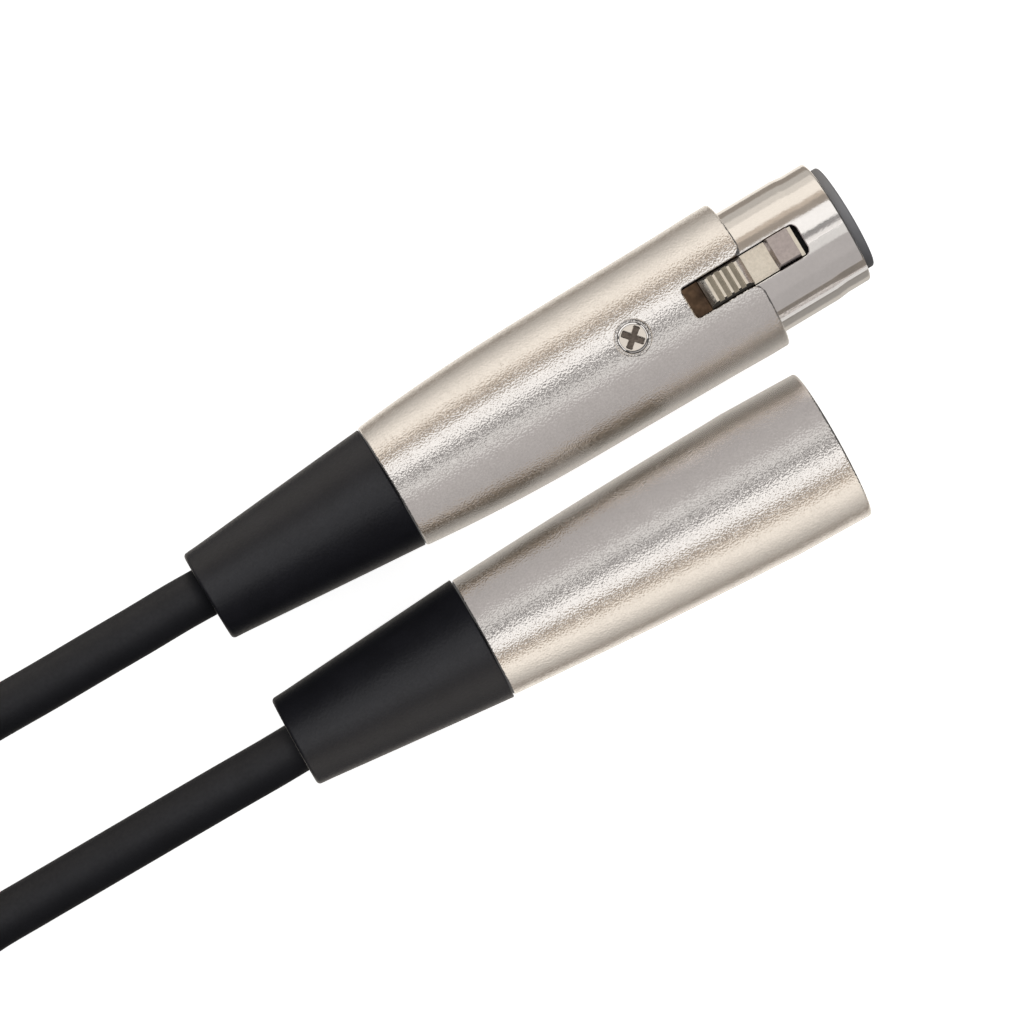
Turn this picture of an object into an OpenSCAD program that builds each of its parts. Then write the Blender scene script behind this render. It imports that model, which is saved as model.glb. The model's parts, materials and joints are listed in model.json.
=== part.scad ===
// Balanced microphone lead: a female and a male three-pole connector, side by side on a table,
// joined by one black cable whose spare length is folded into a tied hank behind them.
// Each connector is drawn along its own axis: x = 0 at its boot's rear face, +x to its mating end.

/* [Cable] */
// Outer diameter of the cable's jacket
cable_d = 6; // [5:0.1:7]
// Sideways angle at which the cable leaves a boot, degrees
cable_yaw = 0.83; // [0:0.01:1.2]

/* [Connectors] */
// Length of a boot's visible cone
boot_len = 25; // [24:0.1:26]
// Distance from the female boot's rear face to the handle's front edge
female_handle_end = 73.5; // [73:0.1:74]
// Distance from the female boot's rear face to the nose's front edge
female_nose_end = 85.6; // [85:0.1:86]
// Distance from the male boot's rear face to the handle's front edge
male_handle_end = 71.8; // [71.5:0.1:72.2]
// Outer diameter of the female handle at its front edge
female_handle_d = 19; // [18.8:0.1:19.4]
// Outer diameter of the male handle at its front edge
male_handle_d = 18.8; // [18.6:0.1:19.2]
// Outer diameter of the female nose
nose_d = 16; // [15.9:0.05:16.1]
// Diameter of the land at the nose's front edge
nose_land_d = 15.66; // [15.6:0.02:15.68]

/* [Contacts] */
// Diameter of the circle that the three contacts stand on
contact_circle_d = 8.2; // [8:0.1:8.4]
// Diameter of a male pin
pin_d = 2.38; // [2.3:0.01:2.4]
// Bore of a female socket
socket_d = 2.44; // [2.42:0.01:2.5]

/* [Latch] */
// Width of the latch plate and its button
latch_w = 3.8; // [3.5:0.1:3.8]
// Width of the slot in the handle and of the window in the nose
slot_w = 4.1; // [4.1:0.1:4.3]
// Height of the button's ribs above the connector's axis
button_top = 9.9; // [9.6:0.1:10]
// Height of the tooth's flat top above the connector's axis
tooth_top = 9.0; // [8.8:0.1:9.2]

/* [Hidden] */
$fn = 96;

// Colours
nickel = [0.74, 0.72, 0.70];
bright_nickel = [0.82, 0.81, 0.79];
rubber_black = [0.10, 0.10, 0.11];
jacket_black = [0.13, 0.13, 0.14];
gasket_grey = [0.32, 0.32, 0.33];
insulator_black = [0.07, 0.07, 0.08];
contact_metal = [0.80, 0.78, 0.70];
conductor_colours = [[0.75, 0.75, 0.75], [0.75, 0.12, 0.10], [0.90, 0.90, 0.88]];

// Where each connector lies: its boot's rear face, its axis height and its heading
boot_rear_x = -43.3;
female_y = 11;
male_y = -8.7;
male_yaw = -1.95;
female_z = female_handle_d / 2;
male_z = male_handle_d / 2;

// Clearances
gap = 0.05;
eps = 0.01;

cable_r = cable_d / 2;
// Point on a connector's axis that its cable's sideways angle turns about
cable_pivot_x = 50;

// Boot
boot_rear_r = 5.72;
boot_front_r = 7.8;
boot_edge = 0.5;
boot_bore_r = 3.95;
boot_mouth_r = 4.6;
boot_mouth_depth = 1.6;
spigot_r = 6.35;
spigot_len = 6;

// Handles
handle_bore_r = spigot_r + gap;
handle_rear_r_female = 7.97;
handle_rear_r_male = 7.58;
handle_edge = 0.35;

// Nose
nose_r = nose_d / 2;
nose_land_r = nose_land_d / 2;
nose_land_len = 3;
nose_cone_len = 1.4;
nose_bore_r = 6.9;
nose_start = 46;
nose_chamfer = 0.4;
key_groove_angle = 54;
key_groove_w = 1.5;
key_groove_floor_r = 7.4;
window_end = 80.4;
window_start = 59.5;
window_corner = 0.8;

// Insulators and contacts
insulator_r = nose_bore_r - gap;
insulator_rear = 50;
insulator_front = 85;
contact_angles = [170, 10, 270];
contact_r = contact_circle_d / 2;
socket_outer_r = 1.6;
socket_front = 84.8;
socket_depth = 11;
shank_r = 1.1;
cup_r = 1.35;
cup_bore_r = 0.85;
cup_len = 5.5;
cup_depth = 4;
gasket_r = 6.64;
gasket_disc = 0.9;
gasket_front = 86.8;
gasket_lip_w = 0.85;

// Latch
pivot_x = 61.6;
pivot_z = 6.6;
pivot_pin_r = 0.45;
pivot_pin_len = 7.6;
pivot_hole_r = 0.5;
eye_r = 0.95;
plate_low = 6.7;
plate_high = 7.6;
plate_end = 79.8;
button_start = 67.2;
button_end = 72.9;
tooth_start = 76.2;
tooth_end = 79.3;
rib_count = 3;
rib_w = 0.34;
channel_depth = 0.75;
ramp_run = 0.75;
slot_start = 65;
slot_mouth_r = 1.5;
latch_bay_z = 5;
latch_bay_end = 80.9;
spring_x = 70;
spring_floor = 3.6;
spring_r = 1.2;
spring_wire_r = 0.2;
spring_turns = 4;
spring_pocket_r = 1.7;

// Screws
screw_x_female = 57.5;
screw_x_male = 50.2;
screw_head_r = 1.85;
counterbore_r = 2.15;
screw_shank_r = 1.0;
cross_span = 2.7;
cross_w = 0.7;
cross_depth = 0.5;

// Male shell
shell_bore_r = 8.15;
shell_floor = 57;
male_insulator_rear = 47;
male_insulator_r = 7.35;
male_cylinder_len = 10;
male_pin_front = 69;
pin_shank_r = 0.95;
// Stand-off of a pin's full width from the insulator's face
pin_step = 0.1;
catch_start = 65.8;
catch_end = 69.3;
catch_w = 4.2;

// Clamp, ground tab and conductors
clamp_start = 31.5;
clamp_end = 39;
clamp_r = 6;
clamp_slit = 1;
jacket_front = 39.7;
tab_t = 0.4;
tab_w = 2;
tab_tail = 4;
conductor_r = 0.6;
conductor_circle_r = 1.35;

// Hank: straight runs between two round ends, two columns of runs wide
hank_right_x = -130;
hank_straight = 76.8;
hank_y = 2;
hank_inner_r = 18.6;
hank_outer_r = hank_inner_r + 1.5 * cable_d;
hank_bottom = 1;
hank_layers = 5;
hank_top = hank_bottom + hank_layers * cable_d;
tie_w = 20;
tie_t = 1;

// Route of each lead from its boot to the end of the hank's outer run, in the part's frame
female_route = [
    [-43.3, 11.7, 9.5], [-47, 11.8, 9.5], [-52, 11.8, 9.3], [-58, 11.9, 8.6], [-65, 12, 7.5],
    [-72, 12.2, 6.3], [-79, 12.3, 5.2], [-86, 12.7, 4.4], [-93, 13.9, 4.1], [-100, 16.2, 4],
    [-107, 19.1, 4], [-114, 22.3, 4], [-121, 25, 4], [-127, 26.4, 4], [-130, 26.6, 4]
];
male_route = [
    [-43.3, -9.4, 9.4], [-47, -9.4, 9.4], [-52, -9.3, 9.2], [-58, -9.2, 8.5], [-65, -9.1, 7.4],
    [-72, -9, 6.2], [-79, -8.9, 5.1], [-86, -8.9, 4.4], [-93, -9.8, 4.1], [-100, -11.9, 4],
    [-107, -14.8, 4], [-114, -18.1, 4], [-121, -21, 4], [-127, -22.5, 4], [-130, -22.6, 4]
];

// ---- Shared forms ----

// Turns children drawn around +z so that they lie along +x
module along_x() { rotate([0, 90, 0]) children(); }

// Carries children from a connector's own axis to its place on the table
module place_female() { translate([boot_rear_x, female_y, female_z]) children(); }
module place_male() {
    translate([boot_rear_x, male_y, male_z]) rotate([0, 0, male_yaw]) rotate([180, 0, 0]) children();
}

// Solid of revolution around +x from [radius, x] points
module turned(points) { along_x() rotate_extrude() polygon(points); }

// Plain bar around +x from x0 to x1
module bar(radius, x0, x1) { translate([x0, 0, 0]) along_x() cylinder(r = radius, h = x1 - x0); }

// Points of a quadratic curve from a to c that leaves and arrives along the lines to b
function curve(a, b, c, steps) =
    [for (i = [0 : steps]) let (u = i / steps) (1 - u) * (1 - u) * a + 2 * u * (1 - u) * b + u * u * c];

// Points of a quarter circle between two angles
function arc(centre, radius, from, to, steps) =
    [for (i = [0 : steps]) let (a = from + (to - from) * i / steps) centre + radius * [cos(a), sin(a)]];

// Tube with flat ends swept along a route: one ring of corners for each point
function unit(v) = v / norm(v);
function heading(p, i) = unit(p[min(i + 1, len(p) - 1)] - p[max(i - 1, 0)]);
function side_of(t, up) = unit(cross(up, t));
function ring(p, i, r, sides, up) =
    let (t = heading(p, i), a = side_of(t, up), b = cross(t, a))
    [for (k = [0 : sides - 1]) p[i] + r * (cos(360 * k / sides) * a + sin(360 * k / sides) * b)];
module tube(p, r, sides, up = [0, 0, 1]) {
    rings = len(p);
    corners = [for (i = [0 : rings - 1]) each ring(p, i, r, sides, up)];
    walls = [for (i = [0 : rings - 2], k = [0 : sides - 1])
        let (n = (k + 1) % sides, a = i * sides + k, b = i * sides + n, c = b + sides, d = a + sides)
        each [[a, b, c], [a, c, d]]];
    near_cap = [[for (k = [sides - 1 : -1 : 0]) k]];
    far_cap = [[for (k = [0 : sides - 1]) (rings - 1) * sides + k]];
    polyhedron(points = corners, faces = concat(walls, near_cap, far_cap));
}

// Places children at one of the three contacts
module at_contact(index) {
    angle = contact_angles[index];
    translate([0, contact_r * cos(angle), contact_r * sin(angle)]) children();
}

// ---- Pieces that both connectors have ----

// Rubber boot: a cone with a recessed mouth for the cable and a spigot inside the handle
module boot() {
    color(rubber_black) turned(concat(
        [[boot_mouth_r, 0]],
        arc([boot_rear_r - boot_edge, boot_edge], boot_edge, -90, 0, 8),
        curve([boot_rear_r + 0.1, 2], [6.75, 12.5], [boot_front_r, boot_len - gap], 10),
        [[spigot_r, boot_len - gap], [spigot_r, boot_len + spigot_len]],
        [[boot_bore_r, boot_len + spigot_len], [boot_bore_r, boot_mouth_depth]],
        [[boot_mouth_r, boot_mouth_depth]]
    ));
}

// Chuck that grips the jacket inside the handle, slit so that it can close
module cable_clamp() {
    color(nickel) difference() {
        turned([[cable_r + gap + 0.35, clamp_start], [clamp_r - 0.8, clamp_start], [clamp_r, clamp_start + 2],
            [clamp_r, clamp_end], [cable_r + gap + 0.35, clamp_end]]);
        translate([clamp_start - 1, -clamp_slit / 2, 0])
            cube([clamp_end - clamp_start + 2, clamp_slit, clamp_r + 1]);
    }
}

// Jacket of the cable inside the boot and the clamp, at the cable's own sideways angle
module jacket_end() {
    color(jacket_black)
    translate([cable_pivot_x, 0, 0]) rotate([0, 0, -cable_yaw]) translate([-cable_pivot_x, 0, 0])
    bar(cable_r, 0.04, jacket_front);
}

// Insulated conductor from the jacket's end to a contact's solder cup
module conductor(index, cup_start) {
    angle = contact_angles[index];
    direction = [0, cos(angle), sin(angle)];
    inner = conductor_circle_r * direction;
    outer = contact_r * direction;
    route = [
        inner + [jacket_front + 0.1, 0, 0],
        inner + [jacket_front + 0.5, 0, 0],
        0.6 * inner + 0.4 * outer + [jacket_front + 0.25 * (cup_start - jacket_front) + 0.5, 0, 0],
        0.15 * inner + 0.85 * outer + [cup_start - 0.8, 0, 0],
        outer + [cup_start + 0.4, 0, 0],
        outer + [cup_start + cup_depth - 0.5, 0, 0]
    ];
    color(conductor_colours[index]) tube(route, conductor_r, 8, cross([1, 0, 0], direction));
}

// Earth tab: a strip that stands on the insulator's rear face and bends back to be soldered
module ground_tab(face_x, top_z) {
    color(bright_nickel) union() {
        translate([face_x - tab_t, -tab_w / 2, 1.6]) cube([tab_t, tab_w, top_z - 1.6]);
        translate([face_x - tab_tail, -tab_w / 2, top_z - tab_t]) cube([tab_tail, tab_w, tab_t]);
    }
}

// Pan-head screw with a cross recess, standing along +z with its head's underside at seat_z
module cross_screw(x, seat_z, head_h, tip_z) {
    color(bright_nickel) translate([x, 0, 0]) difference() {
        union() {
            translate([0, 0, seat_z]) rotate_extrude() polygon(concat(
                [[0, 0], [screw_head_r, 0]],
                arc([screw_head_r - 0.3, head_h - 0.3], 0.3, 0, 90, 6),
                [[0, head_h]]));
            translate([0, 0, tip_z]) cylinder(r = screw_shank_r, h = seat_z - tip_z + eps);
        }
        for (turn = [40, 130])
            rotate([0, 0, turn]) translate([-cross_span / 2, -cross_w / 2, seat_z + head_h - cross_depth])
                cube([cross_span, cross_w, cross_depth + 1]);
    }
}

// Hole for a screw: a counterbore from seat_z outwards and a clearance hole below it
module screw_hole(x, seat_z, hole_from) {
    translate([x, 0, seat_z]) cylinder(r = counterbore_r, h = 3);
    translate([x, 0, hole_from]) cylinder(r = screw_shank_r + gap, h = seat_z - hole_from + 1);
}

// ---- Female connector ----

module female_boot() { place_female() boot(); }

// Die-cast handle: turned tube with a slot that opens forwards for the latch
module female_handle() {
    place_female() color(nickel) difference() {
        turned(concat(
            [[handle_bore_r, boot_len], [handle_rear_r_female - handle_edge, boot_len]],
            curve([handle_rear_r_female, boot_len + handle_edge], [8.98, 34.5], [9.18, 46], 12),
            curve([9.2, 48], [9.3, 58], [9.38, 66], 4),
            [[female_z, 71]],
            arc([female_z - handle_edge, female_handle_end - handle_edge], handle_edge, 0, 90, 6),
            [[nose_r + gap, female_handle_end], [nose_r + gap, nose_start], [handle_bore_r, nose_start]]
        ));
        translate([0, 0, 6]) linear_extrude(6) latch_slot_outline();
        screw_hole(screw_x_female, 8.5, 7);
    }
}

// Plan of the handle's slot: parallel sides whose mouth corners are rounded
module latch_slot_outline() {
    half = slot_w / 2;
    mouth_x = female_handle_end - slot_mouth_r;
    upper = arc([mouth_x, half + slot_mouth_r], slot_mouth_r, -90, -5, 8);
    polygon(concat(
        [[slot_start, half]], upper, [[female_handle_end + 1, half + slot_mouth_r]],
        [[female_handle_end + 1, -half - slot_mouth_r]],
        [for (i = [len(upper) - 1 : -1 : 0]) [upper[i][0], -upper[i][1]]],
        [[slot_start, -half]]
    ));
}

// Bright nose tube with a land at its front edge, a window for the latch and a groove for the key
module female_nose() {
    place_female() color(bright_nickel) difference() {
        turned([
            [nose_bore_r, nose_start + gap], [nose_r, nose_start + gap],
            [nose_r, female_nose_end - nose_land_len - nose_cone_len],
            [nose_land_r, female_nose_end - nose_land_len],
            [nose_land_r, female_nose_end - nose_chamfer],
            [nose_land_r - nose_chamfer, female_nose_end],
            [nose_bore_r, female_nose_end]
        ]);
        translate([0, 0, 4]) linear_extrude(5) window_outline();
        translate([screw_x_female, 0, 6]) cylinder(r = screw_shank_r + gap, h = 3);
        translate([pivot_x, 6, pivot_z]) rotate([90, 0, 0]) cylinder(r = pivot_pin_r + 0.01, h = 12);
        rotate([key_groove_angle, 0, 0])
            translate([female_handle_end - 6, -key_groove_w / 2, key_groove_floor_r])
                cube([20, key_groove_w, 2]);
    }
}

// Plan of the nose's window, with round corners at its front
module window_outline() {
    half = slot_w / 2;
    translate([window_start, -half]) square([window_end - window_corner - window_start, slot_w]);
    translate([window_start, -half + window_corner])
        square([window_end - window_start, slot_w - 2 * window_corner]);
    for (side = [-1, 1])
        translate([window_end - window_corner, side * (half - window_corner)]) circle(window_corner);
}

// Rubber face: a disc over the insulator with three holes and a raised lip
module female_face_gasket() {
    place_female() color(gasket_grey) difference() {
        turned(concat(
            [[0, insulator_front], [gasket_r, insulator_front], [gasket_r, gasket_front - 0.3]],
            arc([gasket_r - 0.3, gasket_front - 0.3], 0.3, 0, 90, 5),
            [[gasket_r - gasket_lip_w, gasket_front], [gasket_r - gasket_lip_w, insulator_front + gasket_disc]],
            [[0, insulator_front + gasket_disc]]
        ));
        for (i = [0 : 2]) at_contact(i) bar(1.45, insulator_front - 1, insulator_front + 2);
    }
}

// Moulded core that holds the sockets, cut away under the latch
module female_insulator() {
    place_female() color(insulator_black) difference() {
        bar(insulator_r, insulator_rear, insulator_front);
        translate([window_start - 0.3, -8, latch_bay_z]) cube([latch_bay_end - window_start + 0.3, 16, 4]);
        translate([spring_x, 0, spring_floor]) cylinder(r = spring_pocket_r, h = 4);
        translate([screw_x_female, 0, latch_bay_z]) cylinder(r = screw_shank_r + gap, h = 4);
        for (i = [0 : 2]) at_contact(i) {
            bar(shank_r + gap, insulator_rear - 1, insulator_front + 1);
            bar(socket_outer_r + gap, socket_front - socket_depth - 1 - gap, insulator_front + 1);
        }
    }
}

// Socket contact: a bored front, a shank and a solder cup
module socket_contact(index) {
    place_female() color(contact_metal) at_contact(index) turned([
        [0, insulator_rear - cup_len + cup_depth], [cup_bore_r, insulator_rear - cup_len + cup_depth],
        [cup_bore_r, insulator_rear - cup_len], [cup_r, insulator_rear - cup_len],
        [cup_r, insulator_rear - gap], [shank_r, insulator_rear - gap],
        [shank_r, socket_front - socket_depth - 1], [socket_outer_r, socket_front - socket_depth - 1],
        [socket_outer_r, socket_front], [socket_d / 2, socket_front],
        [socket_d / 2, socket_front - socket_depth], [0, socket_front - socket_depth]
    ]);
}
module female_contact_1() { socket_contact(0); }
module female_contact_2() { socket_contact(1); }
module female_contact_3() { socket_contact(2); }

// Latch lever: eye, plate, ribbed button and tooth in one piece
module female_latch() {
    button_base = button_top - channel_depth;
    rib_pitch = (button_end - button_start - 2 * ramp_run - rib_w) / (rib_count + 1);
    place_female() color(nickel) difference() {
        union() {
            translate([0, latch_w / 2, 0]) rotate([90, 0, 0]) linear_extrude(latch_w) {
                translate([pivot_x, pivot_z]) circle(eye_r);
                translate([pivot_x, plate_low]) square([plate_end - pivot_x, plate_high - plate_low]);
                polygon([
                    [button_start, plate_low], [button_start, button_base - 0.3],
                    [button_start + ramp_run, button_top], [button_start + ramp_run + rib_w, button_top],
                    [button_start + ramp_run + rib_w, button_base],
                    [button_end - ramp_run - rib_w, button_base], [button_end - ramp_run - rib_w, button_top],
                    [button_end - ramp_run, button_top], [button_end, button_base - 0.3], [button_end, plate_low]
                ]);
                for (i = [1 : rib_count])
                    translate([button_start + ramp_run + i * rib_pitch, button_base - 0.1])
                        square([rib_w, channel_depth + 0.1]);
                polygon([
                    [tooth_start, plate_low], [tooth_start, tooth_top - 0.2], [tooth_start + 0.2, tooth_top],
                    [tooth_end - 0.2, tooth_top], [tooth_end, tooth_top - 0.2], [tooth_end, plate_low]
                ]);
            }
            translate([spring_x, 0, plate_low - 0.6]) cylinder(r = 0.8, h = 0.7);
        }
        translate([pivot_x, latch_w, pivot_z]) rotate([90, 0, 0]) cylinder(r = pivot_hole_r, h = 2 * latch_w);
    }
}

// Cross pin that the latch turns on
module female_latch_pin() {
    place_female() color(bright_nickel)
    translate([pivot_x, pivot_pin_len / 2, pivot_z]) rotate([90, 0, 0])
        cylinder(r = pivot_pin_r, h = pivot_pin_len);
}

// Compression spring under the button
module female_latch_spring() {
    steps = 14 * spring_turns;
    height = plate_low - spring_floor - 2 * spring_wire_r;
    route = [for (i = [0 : steps]) let (a = 360 * spring_turns * i / steps) [
        spring_x + spring_r * cos(a),
        spring_r * sin(a),
        spring_floor + spring_wire_r + height * i / steps
    ]];
    place_female() color(bright_nickel) tube(route, spring_wire_r, 6);
}

module female_screw() { place_female() cross_screw(screw_x_female, 8.5, 0.85, 5.2); }
module female_ground_tab() { place_female() ground_tab(insulator_rear, 5.9); }
module female_cable_clamp() { place_female() cable_clamp(); }
module female_jacket_end() { place_female() jacket_end(); }
module female_conductor_1() { place_female() conductor(0, insulator_rear - cup_len); }
module female_conductor_2() { place_female() conductor(1, insulator_rear - cup_len); }
module female_conductor_3() { place_female() conductor(2, insulator_rear - cup_len); }

// ---- Male connector ----

module male_boot() { place_male() boot(); }

// Die-cast shell: handle and socket for the nose in one, with a catch window for the latch's tooth
module male_handle() {
    cylinder_start = male_handle_end - male_cylinder_len;
    place_male() color(nickel) difference() {
        turned(concat(
            [[handle_bore_r, boot_len], [handle_rear_r_male - handle_edge, boot_len]],
            curve([handle_rear_r_male, boot_len + handle_edge], [8.72, 42], [9.3, cylinder_start - 2], 14),
            [[male_z, cylinder_start]],
            arc([male_z - handle_edge, male_handle_end - handle_edge], handle_edge, 0, 90, 6),
            arc([shell_bore_r + handle_edge, male_handle_end - handle_edge], handle_edge, 90, 180, 6),
            [[shell_bore_r, shell_floor], [male_insulator_r + gap, shell_floor]],
            [[male_insulator_r + gap, male_insulator_rear - 0.5], [handle_bore_r, male_insulator_rear - 0.5]]
        ));
        translate([catch_start, -catch_w / 2, 6]) cube([catch_end - catch_start, catch_w, 5]);
        screw_hole(screw_x_male, 8.05, 6);
    }
}

module male_insulator() {
    place_male() color(insulator_black) difference() {
        bar(male_insulator_r, male_insulator_rear, shell_floor);
        translate([screw_x_male, 0, 5]) cylinder(r = screw_shank_r + gap, h = 4);
        for (i = [0 : 2]) at_contact(i) bar(pin_shank_r + gap, male_insulator_rear - 1, shell_floor + 1);
    }
}

// Pin contact: a round-nosed pin and a solder cup
module pin_contact(index) {
    r = pin_d / 2;
    nose = 0.8;
    rear = male_insulator_rear;
    place_male() color(contact_metal) at_contact(index) turned(concat(
        [[0, rear - cup_len + cup_depth], [cup_bore_r, rear - cup_len + cup_depth]],
        [[cup_bore_r, rear - cup_len], [cup_r, rear - cup_len], [cup_r, rear - gap], [pin_shank_r, rear - gap]],
        [[pin_shank_r, shell_floor + pin_step], [r, shell_floor + pin_step]],
        arc([r - nose, male_pin_front - nose], nose, 0, 90, 8),
        [[0, male_pin_front]]
    ));
}
module male_pin_1() { pin_contact(0); }
module male_pin_2() { pin_contact(1); }
module male_pin_3() { pin_contact(2); }

module male_screw() { place_male() cross_screw(screw_x_male, 8.05, 0.85, 5.2); }
module male_ground_tab() { place_male() ground_tab(male_insulator_rear, 5.9); }
module male_cable_clamp() { place_male() cable_clamp(); }
module male_jacket_end() { place_male() jacket_end(); }
module male_conductor_1() { place_male() conductor(0, male_insulator_rear - cup_len); }
module male_conductor_2() { place_male() conductor(1, male_insulator_rear - cup_len); }
module male_conductor_3() { place_male() conductor(2, male_insulator_rear - cup_len); }

// ---- Cable ----

module cable_female_lead() { color(jacket_black) tube(female_route, cable_r, 12); }
module cable_male_lead() { color(jacket_black) tube(male_route, cable_r, 12); }

// Outline of the folded hank from above
module hank_outline() {
    r = hank_outer_r;
    translate([hank_right_x - hank_straight, -r]) square([hank_straight, 2 * r]);
    for (x = [hank_right_x - hank_straight, hank_right_x]) translate([x, 0]) circle(r);
}

module cable_hank() {
    color(jacket_black) translate([0, hank_y, hank_bottom])
    linear_extrude(hank_top - hank_bottom) hank_outline();
}

// Hook-and-loop strap around the middle of the hank
module cable_tie() {
    middle_x = hank_right_x - hank_straight / 2;
    half = hank_outer_r + tie_t;
    color([0.12, 0.12, 0.13]) translate([middle_x - tie_w / 2, hank_y, 0]) difference() {
        translate([0, -half, 0]) cube([tie_w, 2 * half, hank_top + tie_t]);
        translate([-1, -hank_outer_r, hank_bottom])
            cube([tie_w + 2, 2 * hank_outer_r, hank_top - hank_bottom]);
    }
}

female_boot();
female_handle();
female_nose();
female_face_gasket();
female_insulator();
female_contact_1();
female_contact_2();
female_contact_3();
female_latch();
female_latch_pin();
female_latch_spring();
female_screw();
female_ground_tab();
female_cable_clamp();
female_jacket_end();
female_conductor_1();
female_conductor_2();
female_conductor_3();
male_boot();
male_handle();
male_insulator();
male_pin_1();
male_pin_2();
male_pin_3();
male_screw();
male_ground_tab();
male_cable_clamp();
male_jacket_end();
male_conductor_1();
male_conductor_2();
male_conductor_3();
cable_female_lead();
cable_hank();
cable_male_lead();
cable_tie();
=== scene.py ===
"""Balanced microphone lead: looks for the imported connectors, their cable and its tied hank."""
import json
import math

import bpy
import bmesh
from mathutils import Matrix, Vector


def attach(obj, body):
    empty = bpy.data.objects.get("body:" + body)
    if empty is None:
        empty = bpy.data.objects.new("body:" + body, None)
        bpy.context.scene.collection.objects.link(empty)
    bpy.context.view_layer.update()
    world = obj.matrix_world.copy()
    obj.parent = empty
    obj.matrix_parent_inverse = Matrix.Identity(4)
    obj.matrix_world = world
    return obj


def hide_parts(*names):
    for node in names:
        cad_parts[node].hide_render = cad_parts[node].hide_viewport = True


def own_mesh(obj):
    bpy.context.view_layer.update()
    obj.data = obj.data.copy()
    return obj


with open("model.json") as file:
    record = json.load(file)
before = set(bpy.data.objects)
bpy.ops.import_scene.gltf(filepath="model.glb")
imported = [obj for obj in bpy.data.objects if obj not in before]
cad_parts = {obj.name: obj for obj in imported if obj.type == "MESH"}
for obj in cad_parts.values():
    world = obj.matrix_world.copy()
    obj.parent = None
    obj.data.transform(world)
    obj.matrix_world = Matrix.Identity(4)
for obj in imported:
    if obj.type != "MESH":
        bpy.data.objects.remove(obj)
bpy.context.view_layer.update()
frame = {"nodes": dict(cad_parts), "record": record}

MM = 0.001
ROOT = "connectors_and_cable"
LATCH = "latch"
NODES = frame["nodes"]

# ---- The cable's size ----

CABLE_D = 6 * MM
CABLE_R = CABLE_D / 2


# ---- Camera ----

def add_camera():
    """A long lens looking almost straight down, turned so that the connectors rise to the right."""
    target = Vector((-7.8, 1.3, 9.5)) * MM
    place = Vector((-32.3, -28.2, 689.5)) * MM
    heading = math.radians(30.95)
    data = bpy.data.cameras.new("camera")
    data.lens = 205.2
    data.sensor_width = 36
    data.clip_start = 0.01
    camera = bpy.data.objects.new("camera", data)
    bpy.context.scene.collection.objects.link(camera)
    back = (place - target).normalized()
    up_hint = Vector((math.sin(heading), math.cos(heading), 0))
    right = up_hint.cross(back).normalized()
    up = back.cross(right)
    camera.matrix_world = Matrix((
        (right.x, up.x, back.x, place.x),
        (right.y, up.y, back.y, place.y),
        (right.z, up.z, back.z, place.z),
        (0, 0, 0, 1)))
    bpy.context.scene.camera = camera


add_camera()

# ---- The cord's route ----

# The two leads, from each boot to the start of the hank's outer run, in millimetres
FEMALE_ROUTE = [
    (-43.3, 11.7, 9.5), (-47, 11.8, 9.5), (-52, 11.8, 9.3), (-58, 11.9, 8.6), (-65, 12, 7.5),
    (-72, 12.2, 6.3), (-79, 12.3, 5.2), (-86, 12.7, 4.4), (-93, 13.9, 4.1), (-100, 16.2, 4),
    (-107, 19.1, 4), (-114, 22.3, 4), (-121, 25, 4), (-127, 26.4, 4), (-130, 26.6, 4)]
MALE_ROUTE = [
    (-43.3, -9.4, 9.4), (-47, -9.4, 9.4), (-52, -9.3, 9.2), (-58, -9.2, 8.5), (-65, -9.1, 7.4),
    (-72, -9, 6.2), (-79, -8.9, 5.1), (-86, -8.9, 4.4), (-93, -9.8, 4.1), (-100, -11.9, 4),
    (-107, -14.8, 4), (-114, -18.1, 4), (-121, -21, 4), (-127, -22.5, 4), (-130, -22.6, 4)]

HANK_RIGHT_X = -130.0
HANK_STRAIGHT = 76.8
HANK_Y = 2.0
HANK_INNER_R = 18.6
HANK_PITCH = 6.0
HANK_LAYERS = 5
HANK_BASE_Z = 4.0
HANK_TURNS = 10
SHIFT_LIFT = 2.75
LIFT_RUN = 27.0
FOLD_EASE = 0.04


def smooth(u):
    u = min(max(u, 0.0), 1.0)
    return u * u * u * (u * (6 * u - 15) + 10)


def hank_slots():
    """The ring of places that the runs take: up the inner column, then down the outer one.
    A place is (column, layer); a fold at the left end moves each run on by one place."""
    inner = [(0, k) for k in range(HANK_LAYERS)]
    outer = [(1, k) for k in range(HANK_LAYERS - 1, -1, -1)]
    ring = inner + outer
    starts = [ring[-1]] + ring[:-1]
    return list(zip(starts, ring))


def hank_lift(start, end):
    """How far a run rises while it changes place, so that the others can pass."""
    if start[0] == 1 and end[0] == 0:
        return 0.0
    if start[0] == 0 and end[0] == 1:
        return 2 * SHIFT_LIFT
    return SHIFT_LIFT


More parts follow.
